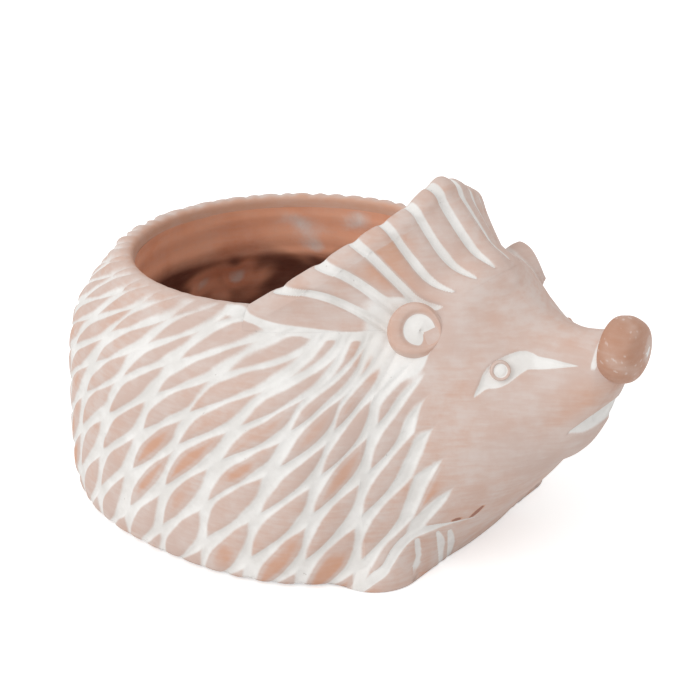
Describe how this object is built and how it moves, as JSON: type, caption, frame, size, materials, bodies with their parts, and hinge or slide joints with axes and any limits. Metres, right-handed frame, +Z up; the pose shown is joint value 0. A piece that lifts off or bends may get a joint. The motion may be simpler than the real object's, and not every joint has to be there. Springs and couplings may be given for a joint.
{
  "type": "animal planter",
  "caption": "Hedgehog-shaped terracotta planter with a round opening in its back, a fluted quill crest behind the head, a raised nose and a white slip wash.",
  "frame": {"origin": "middle of the planter's bounding box, on the table that it stands on", "axes": "+X is the way the animal faces, +Y is its left side and +Z is up"},
  "size_m": [0.24, 0.175, 0.1369],
  "materials": {
    "washed_terracotta": "matte fired clay, white slip rubbed back",
    "bare_terracotta": "matte fired clay"
  },
  "bodies": {
    "root": {"pot_wall": "washed_terracotta", "base_slab": "bare_terracotta", "head": "washed_terracotta", "quill_crest": "washed_terracotta", "right_ear": "washed_terracotta", "left_ear": "washed_terracotta", "right_eye": "washed_terracotta", "left_eye": "washed_terracotta", "nose_pad": "bare_terracotta", "lower_jaw": "washed_terracotta", "right_front_paw": "washed_terracotta", "left_front_paw": "washed_terracotta"}
  },
  "joints": []
}
